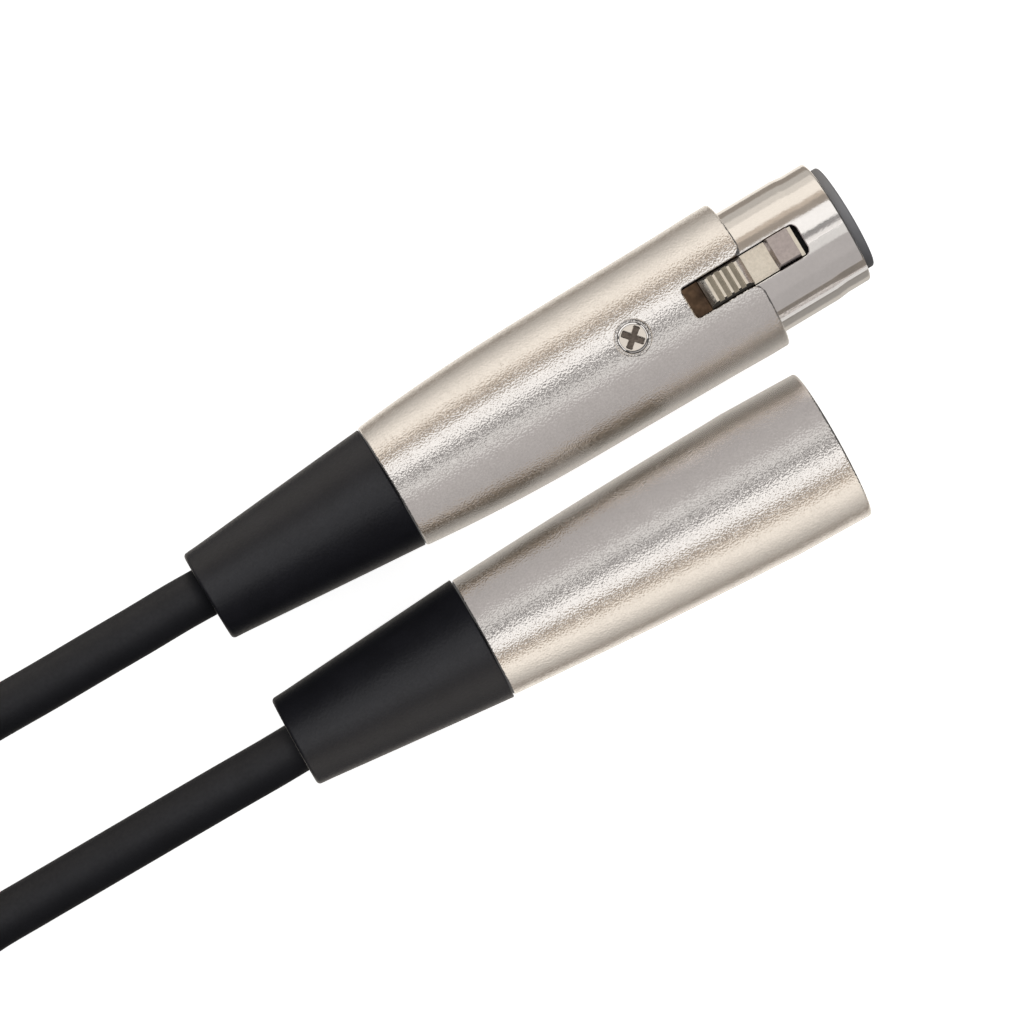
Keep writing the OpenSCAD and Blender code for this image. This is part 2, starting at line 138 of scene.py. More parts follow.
def hank_points():
    """Centreline of the hank's turns in millimetres, from the female lead to the male one."""
    left_x = HANK_RIGHT_X - HANK_STRAIGHT
    points = []
    for turn, (start, end) in enumerate(hank_slots()):
        r0, r1 = (HANK_INNER_R + HANK_PITCH * place[0] for place in (start, end))
        z0, z1 = (HANK_BASE_Z + HANK_PITCH * place[1] for place in (start, end))
        lift = hank_lift(start, end)
        steps = 24
        for i in range(1 if turn == 0 else 0, steps):
            x = HANK_RIGHT_X - HANK_STRAIGHT * i / steps
            rise = lift * smooth((left_x + LIFT_RUN - x) / LIFT_RUN)
            points.append((x, HANK_Y + r0, z0 + rise))
        fold_steps = 36
        for i in range(fold_steps + 1):
            u = i / fold_steps
            f = smooth((u - FOLD_EASE) / (1 - 2 * FOLD_EASE))
            r = r0 + (r1 - r0) * f
            angle = math.pi * u
            points.append((
                left_x - r * math.sin(angle), HANK_Y + r * math.cos(angle),
                z0 + (z1 - z0) * f + lift))
        last = turn == HANK_TURNS - 1
        for i in range(1, steps + (0 if last else 1)):
            x = left_x + HANK_STRAIGHT * i / steps
            rise = lift * (1 - smooth((x - left_x) / LIFT_RUN))
            points.append((x, HANK_Y - r1, z1 + rise))
        if not last:
            for i in range(1, fold_steps):
                angle = math.pi * i / fold_steps
                points.append((
                    HANK_RIGHT_X + r1 * math.sin(angle), HANK_Y - r1 * math.cos(angle), z1))
    return points


def catmull_rom(points, step):
    """A smooth line through points with a vertex about every step."""
    pts = [Vector(p) for p in points]
    ends = [2 * pts[0] - pts[1]] + pts + [2 * pts[-1] - pts[-2]]
    line = []
    for i in range(1, len(ends) - 2):
        a, b, c, d = ends[i - 1:i + 3]
        count = max(1, round((c - b).length / step))
        for k in range(count):
            u = k / count
            line.append(0.5 * (2 * b + (c - a) * u + (2 * a - 5 * b + 4 * c - d) * u * u
                               + (3 * b - a - 3 * c + d) * u ** 3))
    line.append(pts[-1])
    return line


def line_length(points):
    return sum((Vector(b) - Vector(a)).length for a, b in zip(points, points[1:]))


def cord_line():
    """The whole cord in metres: female lead, hank, male lead."""
    into = catmull_rom(FEMALE_ROUTE, 1.6)
    out = catmull_rom(MALE_ROUTE, 1.6)
    out.reverse()
    middle = [Vector(p) for p in hank_points()]
    return [p * MM for p in into + middle + out]


def frames_along(points):
    """Tangent and two perpendiculars at each point, turned as little as possible from one to the next."""
    count = len(points)
    frames = []
    normal = Vector((0, 0, 1))
    for i in range(count):
        tangent = (points[min(i + 1, count - 1)] - points[max(i - 1, 0)]).normalized()
        normal = (normal - tangent * normal.dot(tangent)).normalized()
        frames.append((tangent, normal, tangent.cross(normal)))
    return frames


def link(name, mesh, body=ROOT):
    piece = bpy.data.objects.new(name, mesh)
    bpy.context.scene.collection.objects.link(piece)
    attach(piece, body)
    return piece


def tube_mesh(name, points, radius, sides):
    """A closed round tube along points, with a UV map: u along it and v around it, in metres."""
    mesh = bmesh.new()
    uv = mesh.loops.layers.uv.new("UVMap")
    rings = []
    for point, (_, a, b) in zip(points, frames_along(points)):
        rings.append([mesh.verts.new(point + radius * (math.cos(w) * a + math.sin(w) * b))
                      for w in (2 * math.pi * k / sides for k in range(sides))])
    along = 0.0
    for i in range(len(rings) - 1):
        step = (points[i + 1] - points[i]).length
        for k in range(sides):
            n = (k + 1) % sides
            face = mesh.faces.new((rings[i][k], rings[i + 1][k], rings[i + 1][n], rings[i][n]))
            face.smooth = True
            corners = ((along, k), (along + step, k), (along + step, k + 1), (along, k + 1))
            for loop, (u, v) in zip(face.loops, corners):
                loop[uv].uv = (u, v * 2 * math.pi * radius / sides)
        along += step
    mesh.faces.new(rings[0])
    mesh.faces.new(list(reversed(rings[-1])))
    bmesh.ops.recalc_face_normals(mesh, faces=mesh.faces)
    data = bpy.data.meshes.new(name)
    mesh.to_mesh(data)
    mesh.free()
    return data


CORD_LINE = cord_line()
print("cord length", round(line_length(CORD_LINE), 4))
cord = link("cable", tube_mesh("cable", CORD_LINE, CABLE_R, 32))
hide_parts("cable_female_lead", "cable_hank", "cable_male_lead")

# ---- The strap around the hank ----

STRAP_W = 20.0
STRAP_T = 0.9
STRAP_CORNER_R = 3.6
STRAP_SAG = 0.9


def arc(cx, cy, r, start, end, steps):
    """Points of an arc, with its angles in degrees."""
    angles = [math.radians(start + (end - start) * i / steps) for i in range(steps + 1)]
    return [(cx + r * math.cos(a), cy + r * math.sin(a)) for a in angles]


def strap_loop():
    """The strap's middle line in the plane across the hank: (y, z), anticlockwise from the lower right.
    It is flat below, round over the outer turns, and dips a little between them on top."""
    half = HANK_INNER_R + HANK_PITCH + CABLE_D / MM / 2 + STRAP_T / 2
    low = STRAP_T / 2 + 0.05
    high = HANK_BASE_Z + HANK_PITCH * (HANK_LAYERS - 1) + CABLE_D / MM / 2 + STRAP_T / 2
    r = STRAP_CORNER_R
    flat = half - r
    loop = arc(flat, low + r, r, -90, 0, 10) + arc(flat, high - r, r, 0, 90, 10)
    steps = 32
    for i in range(1, steps):
        u = i / steps
        loop.append((flat - 2 * flat * u, high - STRAP_SAG * math.sin(math.pi * u) ** 2))
    loop += arc(-flat, high - r, r, 90, 180, 10) + arc(-flat, low + r, r, 180, 270, 10)
    return loop


def band_mesh(name, line, width, thickness, closed):
    """A ribbon of a rounded flat section along (y, z) points, centred on the hank's middle."""
    middle_x = HANK_RIGHT_X - HANK_STRAIGHT / 2
    round_r = thickness * 0.45
    section = []
    for cx, cz, start in ((1, -1, -90), (1, 1, 0), (-1, 1, 90), (-1, -1, 180)):
        section += arc(cx * (width / 2 - round_r), cz * (thickness / 2 - round_r), round_r, start, start + 90, 3)
    mesh = bmesh.new()
    rings = []
    count = len(line)
    for i, (y, z) in enumerate(line):
        before = line[i - 1] if closed else line[max(i - 1, 0)]
        after = line[(i + 1) % count] if closed else line[min(i + 1, count - 1)]
        t = Vector((after[0] - before[0], after[1] - before[1])).normalized()
        out = Vector((t.y, -t.x))
        rings.append([mesh.verts.new(Vector((middle_x + sx, HANK_Y + y + out.x * sz, z + out.y * sz)) * MM)
                      for sx, sz in section])
    pairs = list(zip(rings, rings[1:])) + ([(rings[-1], rings[0])] if closed else [])
    for ring, after in pairs:
        for k in range(len(section)):
            n = (k + 1) % len(section)
            mesh.faces.new((ring[k], ring[n], after[n], after[k]))
    if not closed:
        mesh.faces.new(rings[0])
        mesh.faces.new(list(reversed(rings[-1])))
    return to_mesh(name, mesh)


def to_mesh(name, mesh, sharp=35):
    """A finished mesh from a bmesh: outward faces, smooth but for edges sharper than an angle."""
    bmesh.ops.recalc_face_normals(mesh, faces=mesh.faces)
    data = bpy.data.meshes.new(name)
    mesh.to_mesh(data)
    mesh.free()
    data.shade_smooth()
    data.set_sharp_from_angle(angle=math.radians(sharp))
    return data


def flap_line():
    """The strap's free end, pressed down on the strap's top: (y, z) points."""
    high = HANK_BASE_Z + HANK_PITCH * (HANK_LAYERS - 1) + CABLE_D / MM / 2 + STRAP_T * 1.5 + 0.05
    flat = HANK_INNER_R + HANK_PITCH + CABLE_D / MM / 2 + STRAP_T / 2 - STRAP_CORNER_R
    line = []
    for i in range(21):
        y = 17.0 - 33.0 * i / 20
        u = (flat - y) / (2 * flat)
        line.append((y, high - STRAP_SAG * math.sin(math.pi * u) ** 2))
    return line


def stitch_mesh(name):
    """Two rows of thread across the flap's sewn end: each stitch is a short rounded bead."""
    middle_x = HANK_RIGHT_X - HANK_STRAIGHT / 2
    line = flap_line()
    mesh = bmesh.new()
    for row_y in (14.6, 12.8):
        y, z = min(line, key=lambda p: abs(p[0] - row_y))
        for i in range(9):
            bead = bmesh.ops.create_icosphere(mesh, subdivisions=2, radius=1.0)["verts"]
            place = Vector((middle_x - 8 + 2 * i, HANK_Y + row_y, z + STRAP_T / 2))
            for v in bead:
                v.co = (Vector((v.co.x * 0.75, v.co.y * 0.2, v.co.z * 0.16)) + place) * MM
    return to_mesh(name, mesh, 180)


strap = link("strap_band", band_mesh("strap_band", strap_loop(), STRAP_W, STRAP_T, True))
flap = link("strap_flap", band_mesh("strap_flap", flap_line(), STRAP_W, STRAP_T, False))
stitches = link("strap_stitches", stitch_mesh("strap_stitches"))
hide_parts("cable_tie")

# ---- The connectors' shells, in millimetres along each connector's own axis ----

FEMALE_PLACE = Matrix.Translation((-43.3, 11.0, 9.5))
MALE_PLACE = (Matrix.Translation((-43.3, -8.7, 9.4)) @ Matrix.Rotation(math.radians(-1.95), 4, "Z")
              @ Matrix.Rotation(math.pi, 4, "X"))


def lathe(profile, segments=240, step=1.2, axis="x"):
    """Closed solid of revolution in bmesh, from a closed outline of (place along the axis, radius)."""
    mesh = bmesh.new()
    outline = []
    for (x0, r0), (x1, r1) in zip(profile, profile[1:] + profile[:1]):
        count = max(1, math.ceil(math.dist((x0, r0), (x1, r1)) / step))
        outline += [(x0 + (x1 - x0) * i / count, r0 + (r1 - r0) * i / count) for i in range(count)]
    rings = []
    turns = [2 * math.pi * k / segments for k in range(segments)]
    for x, r in outline:
        if r < 0.001:
            rings.append([mesh.verts.new((x, 0, 0))] * segments)
        else:
            rings.append([mesh.verts.new((x, r * math.cos(a), r * math.sin(a))) for a in turns])
    for ring, after in zip(rings, rings[1:] + rings[:1]):
        for k in range(segments):
            n = (k + 1) % segments
            corners = list(dict.fromkeys((ring[k], ring[n], after[n], after[k])))
            if len(corners) > 2:
                mesh.faces.new(corners)
    if axis == "z":
        mesh.transform(Matrix.Rotation(-math.pi / 2, 4, "Y"))
    return mesh


def curve(a, b, c, steps):
    """Quadratic curve from a to c that leaves and arrives along the lines to b."""
    points = []
    for i in range(steps + 1):
        u = i / steps
        points.append(tuple((1 - u) ** 2 * p + 2 * u * (1 - u) * q + u * u * w for p, q, w in zip(a, b, c)))
    return points


def skin(points):
    """Height above the axis of a turned surface, from its (x, radius) points."""
    def height(x, y):
        for (x0, r0), (x1, r1) in zip(points, points[1:]):
            if x <= x1:
                break
        r = r0 + (r1 - r0) * min(max((x - x0) / (x1 - x0), 0), 1)
        return math.sqrt(r * r - y * y)
    return height


def plug(outline, height, floor, chamfer=0.12, turn=0.0, top=12.0):
    """A cutter for a hole of this anticlockwise outline: straight walls up from the floor, and a
    chamfer where they meet the surface at height(x, y). turn swings it about the connector's axis."""
    reach = chamfer + 0.35
    mesh = bmesh.new()
    count = len(outline)
    levels = [[], [], [], []]
    for i, (x, y) in enumerate(outline):
        before, after = outline[i - 1], outline[(i + 1) % count]
        t = Vector((after[0] - before[0], after[1] - before[1])).normalized()
        out = Vector((t.y, -t.x))
        surface = height(x, y)
        wide = (x + out.x * reach, y + out.y * reach)
        levels[0].append(mesh.verts.new((x, y, floor)))
        levels[1].append(mesh.verts.new((x, y, surface - chamfer)))
        levels[2].append(mesh.verts.new((*wide, surface - chamfer + reach)))
        levels[3].append(mesh.verts.new((*wide, top)))
    for low, high in zip(levels, levels[1:]):
        for k in range(count):
            n = (k + 1) % count
            mesh.faces.new((low[k], low[n], high[n], high[k]))
    mesh.faces.new(list(reversed(levels[0])))
    mesh.faces.new(levels[3])
    mesh.transform(Matrix.Rotation(turn, 4, "X"))
    return mesh


def circle(cx, cy, r, steps=72):
    return arc(cx, cy, r, 0, 360 * (steps - 1) / steps, steps - 1)


def dense(points, step=0.5):
    """The same closed outline with points no further apart than a step."""
    result = []
    for a, b in zip(points, points[1:] + points[:1]):
        count = max(1, math.ceil(math.dist(a, b) / step))
        result += [(a[0] + (b[0] - a[0]) * i / count, a[1] + (b[1] - a[1]) * i / count) for i in range(count)]
    return result


def rounded(x0, x1, half, r):
    """Anticlockwise rectangle in plan with round corners."""
    return dense(arc(x0 + r, -half + r, r, 180, 270, 8) + arc(x1 - r, -half + r, r, 270, 360, 8)
                 + arc(x1 - r, half - r, r, 0, 90, 8) + arc(x0 + r, half - r, r, 90, 180, 8))


def scene_object(mesh):
    data = bpy.data.meshes.new("work")
    bmesh.ops.recalc_face_normals(mesh, faces=mesh.faces)
    mesh.to_mesh(data)
    mesh.free()
    holder = bpy.data.objects.new("work", data)
    bpy.context.scene.collection.objects.link(holder)
    return holder


def cut(body, *cutters):
    """The body less its cutters, all bmeshes, as one mesh."""
    holder = scene_object(body)
    tools = [scene_object(c) for c in cutters]
    for tool in tools:
        change = holder.modifiers.new("cut", "BOOLEAN")
        change.operation = "DIFFERENCE"
        change.solver = "EXACT"
        change.object = tool
    bpy.context.view_layer.update()
    result = bpy.data.meshes.new_from_object(holder.evaluated_get(bpy.context.evaluated_depsgraph_get()))
    for used in [holder] + tools:
        bpy.data.objects.remove(used)
    return result


def connector_piece(name, node, source, place, slot, body=ROOT, sharp=30, finish_or_shade_of=None):
    """Turns a mesh or bmesh in millimetres into a piece that stands for a CAD node. The optional function
    gives the number of a face's material slot, for its plating or for painted shade, from its centre and normal."""
    if isinstance(source, bmesh.types.BMesh):
        source = cut(source)
    slot_numbers = [finish_or_shade_of(f.center, f.normal) if finish_or_shade_of else 0 for f in source.polygons]
    source.materials.clear()
    for number in range(max(slot_numbers) + 1):
        source.materials.append(None)
    for face, slot_number in zip(source.polygons, slot_numbers):
        face.material_index = slot_number
    source.transform(Matrix.Scale(MM, 4) @ place)
    source.name = name
    source.shade_smooth()
    source.set_sharp_from_angle(angle=math.radians(sharp))
    piece = link(name, source, body=body)
    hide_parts(node)
    return piece


def boot():
    """Rubber boot: a tapering cone whose rear edge is rounded, with a recessed mouth."""
    rear = [(0.0, 4.6)] + [(x, r) for r, x in arc(5.22, 0.5, 0.5, -90, 0, 10)]
    side = curve((2.0, 5.82), (12.5, 6.75), (24.75, 7.77), 30)
    lip = [(24.95 - 0.2 + 0.2 * math.sin(a), 7.6 + 0.2 * math.cos(a)) for a in (math.radians(15 * i) for i in range(1, 7))]
    return lathe(rear + side + lip + [(24.95, 6.35), (31, 6.35), (31, 3.95), (1.6, 3.95), (1.6, 4.6)])


def female_handle():
    side = (curve((25.35, 7.97), (34.5, 8.98), (46.0, 9.18), 24)
            + curve((48.0, 9.2), (58.0, 9.3), (66.0, 9.38), 10) + [(71.0, 9.5)])
    front = [(x, r) for r, x in arc(9.15, 73.15, 0.35, 0, 90, 8)]
    rear = [(x, r) for r, x in arc(7.62, 25.35, 0.35, -90, -8, 6)]
    body = lathe([(25.0, 6.4)] + rear + side + front + [(73.5, 8.05), (46.0, 8.05), (46.0, 6.4)])
    surface = skin(side + [(76.0, 9.5)])
    mouth = arc(72.0, 3.55, 1.5, -90, -8, 10)
    slot = dense(arc(65.6, -1.45, 0.6, 180, 270, 8) + [(x, -y) for x, y in mouth] + [(75.0, -3.4), (75.0, 3.4)]
                 + list(reversed(mouth)) + arc(65.6, 1.45, 0.6, 90, 180, 8))
    return cut(body, plug(slot, surface, 6.5), plug(circle(57.5, 0, 2.15), surface, 8.5),
               plug(circle(57.5, 0, 1.05, 32), surface, 7.0, -2.0, top=9.0))


def female_nose():
    side = [(46.05, 8.0), (81.2, 8.0), (82.6, 7.83), (85.15, 7.83)]
    edge = [(x, r) for r, x in arc(7.5, 85.27, 0.33, 0, 90, 6)]
    body = lathe([(46.05, 6.9)] + side + edge + [(85.6, 7.1), (85.4, 6.9)])
    surface = skin([(46.0, 8.0), (81.2, 8.0), (82.6, 7.83), (90.0, 7.83)])
    groove = dense([(67.5, -0.75), (88.0, -0.75), (88.0, 0.75), (67.5, 0.75)])
    return cut(body, plug(rounded(59.5, 80.4, 2.05, 0.8), surface, 4.0, 0.1),
               plug(groove, surface, 7.4, 0.3, turn=math.radians(54)))


def male_handle():
    side = curve((25.35, 7.58), (42.0, 8.72), (59.8, 9.3), 36) + [(61.8, 9.4)]
    front = [(x, r) for r, x in arc(9.05, 71.45, 0.35, 0, 90, 8)]
    inner = [(x, r) for r, x in arc(8.5, 71.45, 0.35, 90, 180, 8)]
    rear = [(x, r) for r, x in arc(7.23, 25.35, 0.35, -90, -8, 6)]
    body = lathe([(25.0, 6.4)] + rear + side + front + inner
                 + [(57.0, 8.15), (57.0, 7.4), (46.5, 7.4), (46.5, 6.4)])
    surface = skin(side + [(75.0, 9.4)])
    return cut(body, plug(rounded(65.8, 69.3, 2.1, 0.3), surface, 6.0, 0.1),
               plug(circle(50.2, 0, 2.15), surface, 8.05))


def gasket():
    lip = [(x, r) for r, x in arc(6.34, 86.5, 0.3, 0, 90, 6)]
    inner = [(x, r) for r, x in arc(6.0, 86.6, 0.2, 90, 180, 5)]
    body = lathe([(85.0, 0.0), (85.0, 6.64)] + lip + inner + [(85.9, 5.8), (85.9, 0.0)], segments=180)
    holes = []
    for angle in (170, 10, 270):
        y, z = (4.1 * f(math.radians(angle)) for f in (math.cos, math.sin))
        hole = lathe([(84.0, 0.0), (84.0, 1.45), (85.75, 1.45), (86.3, 1.9), (88.0, 1.9), (88.0, 0.0)], segments=48)
        hole.transform(Matrix.Translation((0, y, z)))
        holes.append(hole)
    return cut(body, *holes)


def cross_screw(seat):
    """Pan-head screw along +z: a domed head with a crossed recess, and a plain shank."""
    top = seat + 0.85
    edge = arc(seat + 0.4, 1.4, 0.45, 90, 0, 8)
    body = lathe([(5.2, 0.0), (5.2, 1.0), (seat, 1.0), (seat, 1.8)] + edge + [(top, 0.9), (top, 0.0)],
                 segments=96, axis="z")
    tools = []
    for turn in (40, 130):
        blade = plug(rounded(-1.35, 1.35, 0.35, 0.15), lambda u, v: top, top - 0.5, 0.08, top=top + 1)
        blade.transform(Matrix.Rotation(math.radians(turn), 4, "Z"))
        tools.append(blade)
    return cut(body, *tools)


# The latch's side view: eye, plate, ribbed button and tooth
LATCH_W = 3.8
PLATE_LOW, PLATE_HIGH, PLATE_END = 6.7, 7.6, 79.8
BUTTON_START, BUTTON_END, BUTTON_TOP, BUTTON_BASE = 67.2, 72.9, 9.9, 9.15
TOOTH_START, TOOTH_END, TOOTH_TOP = 76.2, 79.3, 9.0
RIB_W, RIB_COUNT, RAMP = 0.34, 3, 0.75
BUTTON_DRAFT, TOOTH_DRAFT = 0.42, 0.35


def latch_outline():
    eye = arc(61.6, 6.6, 0.95, 6, -270, 20)
    points = list(reversed(eye))
    points = [(61.6, PLATE_HIGH)] + points
    points += [(PLATE_END, PLATE_LOW), (PLATE_END, PLATE_HIGH), (TOOTH_END, PLATE_HIGH),
               (TOOTH_END - 0.1, TOOTH_TOP), (TOOTH_START + TOOTH_DRAFT, TOOTH_TOP), (TOOTH_START, PLATE_HIGH), (BUTTON_END, PLATE_HIGH),
               (BUTTON_END, BUTTON_BASE - 0.3), (BUTTON_END - RAMP, BUTTON_TOP)]
    pitch = (BUTTON_END - BUTTON_START - 2 * RAMP - RIB_W) / (RIB_COUNT + 1)
    for i in range(RIB_COUNT + 1, -1, -1):
        x = BUTTON_START + RAMP + i * pitch
        if i < RIB_COUNT + 1:
            points += [(x + RIB_W, BUTTON_BASE), (x + RIB_W, BUTTON_TOP)]
        if i > 0:
            points += [(x, BUTTON_TOP), (x, BUTTON_BASE)]
    points += [(BUTTON_START + RAMP, BUTTON_TOP), (BUTTON_START, BUTTON_BASE - 0.3), (BUTTON_START, PLATE_HIGH)]
    return points


def side_wedge(x0, x1, low, high, draft, side):
    """A cutter that slopes one side of a block inwards by the draft, from low up to high."""
    edge = LATCH_W / 2
    slope = draft / (high - low)
    section = [(edge + 0.3, low - 0.02), (edge + 0.001, low - 0.02), (edge - draft - 0.3 * slope, high + 0.3),
               (edge + 0.3, high + 0.3)]
    mesh = bmesh.new()
    near, far = ([mesh.verts.new((x, side * y, z)) for y, z in section] for x in (x0, x1))
    mesh.faces.new(near)
    mesh.faces.new(list(reversed(far)))
    for k in range(4):
        n = (k + 1) % 4
        mesh.faces.new((near[k], far[k], far[n], near[n]))
    return mesh


def latch():
    mesh = bmesh.new()
    left, right = ([mesh.verts.new((x, y, z)) for x, z in latch_outline()] for y in (-LATCH_W / 2, LATCH_W / 2))
    mesh.faces.new(left)
    mesh.faces.new(list(reversed(right)))
    for k in range(len(left)):
        n = (k + 1) % len(left)
        mesh.faces.new((left[k], right[k], right[n], left[n]))
    holder = scene_object(mesh)
    soften = holder.modifiers.new("edges", "BEVEL")
    soften.width = 0.07
    soften.segments = 2
    soften.limit_method = "ANGLE"
    soften.angle_limit = math.radians(35)
    bpy.context.view_layer.update()
    result = bpy.data.meshes.new_from_object(holder.evaluated_get(bpy.context.evaluated_depsgraph_get()))
    bpy.data.objects.remove(holder)
    whole = bmesh.new()
    whole.from_mesh(result)
    eye = lathe([(-3.0, 0.0), (-3.0, 0.5), (3.0, 0.5), (3.0, 0.0)], segments=32)
    eye.transform(Matrix.Translation((61.6, 0, 6.6)) @ Matrix.Rotation(math.pi / 2, 4, "Z"))
    button = [side_wedge(BUTTON_START - 0.05, BUTTON_END + 0.05, PLATE_HIGH + 0.35, BUTTON_TOP, BUTTON_DRAFT, side)
              for side in (-1, 1)]
    tooth = side_wedge(TOOTH_START - 0.05, TOOTH_END + 0.05, PLATE_HIGH + 0.05, TOOTH_TOP, TOOTH_DRAFT, -1)
    return cut(whole, eye, *button, tooth)


def latch_finish_and_shade(c, n):
    """0 the plain plate, 1 the tooth, painted darker as a painted reflection, 2 the button's channel and sides, painted
    dark as painted shade, 3 the deep end behind it, painted dark brown as painted shade.
    """
    if TOOTH_START - 0.05 < c.x < TOOTH_END + 0.02 and c.z > PLATE_HIGH + 0.05:
        return 1
    if c.x < BUTTON_START + 0.02:
        return 3
    in_button = c.x < BUTTON_END + 0.02 and c.z > PLATE_HIGH + 0.05
    low = c.z < BUTTON_TOP - 0.25 and n.z > 0.5 and abs(n.x) < 0.3
    return 2 if in_button and (low or abs(n.y) > 0.3) else 0


def screw_finish_and_shade(seat):
    """0 the head, 1 the crossed recess, painted dark as painted shade."""
    return lambda c, n: 1 if c.z < seat + 0.82 and c.z > seat + 0.3 and math.hypot(c.x, c.y) < 1.45 else 0


def handle_finish_and_shade(c, n):
    """0 the handle, 1 the walls of its slot, painted dark as painted shade."""
    in_slot = c.x > 64 and c.z > 5 and abs(c.y) < 2.1
    return 1 if in_slot and (abs(n.y) > 0.9 or n.x > 0.9) else 0


PIECES = {
    "female_boot_skin": ("female_boot", boot(), FEMALE_PLACE, "boot_rubber"),
    "male_boot_skin": ("male_boot", boot(), MALE_PLACE, "boot_rubber"),
    "male_handle_shell": ("male_handle", male_handle(), MALE_PLACE, "satin_nickel"),
    "female_nose_tube": ("female_nose", female_nose(), FEMALE_PLACE, "bright_nickel"),
    "female_gasket_face": ("female_face_gasket", gasket(), FEMALE_PLACE, "gasket_rubber"),
}
shells = {name: connector_piece(name, *row) for name, row in PIECES.items()}
for side, place, x, seat in (("female", FEMALE_PLACE, 57.5, 8.5), ("male", MALE_PLACE, 50.2, 8.05)):
    shells[side + "_cross_screw"] = connector_piece(
        side + "_cross_screw", side + "_screw", cross_screw(seat), place @ Matrix.Translation((x, 0, 0)),
        "bright_nickel", finish_or_shade_of=screw_finish_and_shade(seat))
shells["female_handle_shell"] = connector_piece(
    "female_handle_shell", "female_handle", female_handle(), FEMALE_PLACE, "satin_nickel",
    finish_or_shade_of=handle_finish_and_shade)
shells["female_latch_lever"] = connector_piece(
    "female_latch_lever", "female_latch", latch(), FEMALE_PLACE, "satin_nickel", body=LATCH,
    finish_or_shade_of=latch_finish_and_shade)

# ---- Materials ----

def new_material(name):
    material = bpy.data.materials.new(name)
    material.use_nodes = True
    tree = material.node_tree
    shader = tree.nodes["Principled BSDF"]
    return material, tree, shader


def noise(tree, scale, detail=2.0, rough=0.5, vector=None):
    node = tree.nodes.new("ShaderNodeTexNoise")
    node.inputs["Scale"].default_value = scale
    node.inputs["Detail"].default_value = detail
    node.inputs["Roughness"].default_value = rough
    if vector is None:
        coords = tree.nodes.new("ShaderNodeTexCoord")
        vector = coords.outputs["Object"]
    tree.links.new(vector, node.inputs["Vector"])
    return node


def ramp(tree, value, low, high, colour_low, colour_high):
    node = tree.nodes.new("ShaderNodeValToRGB")
    node.color_ramp.elements[0].position = low
    node.color_ramp.elements[1].position = high
    node.color_ramp.elements[0].color = (*colour_low, 1)
    node.color_ramp.elements[1].color = (*colour_high, 1)
    tree.links.new(value, node.inputs["Fac"])
    return node


def grey(v):
    return (v, v, v)


def bump(tree, shader, height, distance, strength=1.0, normal=None):
    node = tree.nodes.new("ShaderNodeBump")
    node.inputs["Distance"].default_value = distance
    node.inputs["Strength"].default_value = strength
    tree.links.new(height, node.inputs["Height"])
    if normal is not None:
        tree.links.new(normal, node.inputs["Normal"])
    tree.links.new(node.outputs["Normal"], shader.inputs["Normal"])
    return node.outputs["Normal"]


def nickel(name, light, dark, rough, grain_scale, grain_height, grain_tone=0.0):
    """Nickel plating: a slow change of tone, and grains that break up its reflections and tone."""
    material, tree, shader = new_material(name)
    shader.inputs["Metallic"].default_value = 1.0
    grain = noise(tree, grain_scale, 1.0, 0.5)
    tone = noise(tree, 500, 3.0)
    colour = ramp(tree, tone.outputs["Fac"], 0.3, 0.7, dark, light)
    speckle = ramp(tree, grain.outputs["Fac"], 0.36, 0.64, grey(1 - grain_tone), grey(1.0))
    mixed = tree.nodes.new("ShaderNodeMixRGB")
    mixed.blend_type = "MULTIPLY"
    mixed.inputs["Fac"].default_value = 1.0
    tree.links.new(colour.outputs["Color"], mixed.inputs["Color1"])
    tree.links.new(speckle.outputs["Color"], mixed.inputs["Color2"])
    tree.links.new(mixed.outputs["Color"], shader.inputs["Base Color"])
    wear = ramp(tree, tone.outputs["Fac"], 0.3, 0.7, grey(rough), grey(rough + 0.04))
    tree.links.new(wear.outputs["Color"], shader.inputs["Roughness"])
    bump(tree, shader, grain.outputs["Fac"], grain_height)
    return material


def matte_black(name, low, high, rough_low, rough_high, grain_scale, grain_height):
    material, tree, shader = new_material(name)
    tone = noise(tree, 300, 3.0)
    grain = noise(tree, grain_scale, 3.0, 0.6)
    colour = ramp(tree, tone.outputs["Fac"], 0.3, 0.7, low, high)
    tree.links.new(colour.outputs["Color"], shader.inputs["Base Color"])
    rough = ramp(tree, grain.outputs["Fac"], 0.3, 0.7, grey(rough_low), grey(rough_high))
    tree.links.new(rough.outputs["Color"], shader.inputs["Roughness"])
    bump(tree, shader, grain.outputs["Fac"], grain_height)
    return material


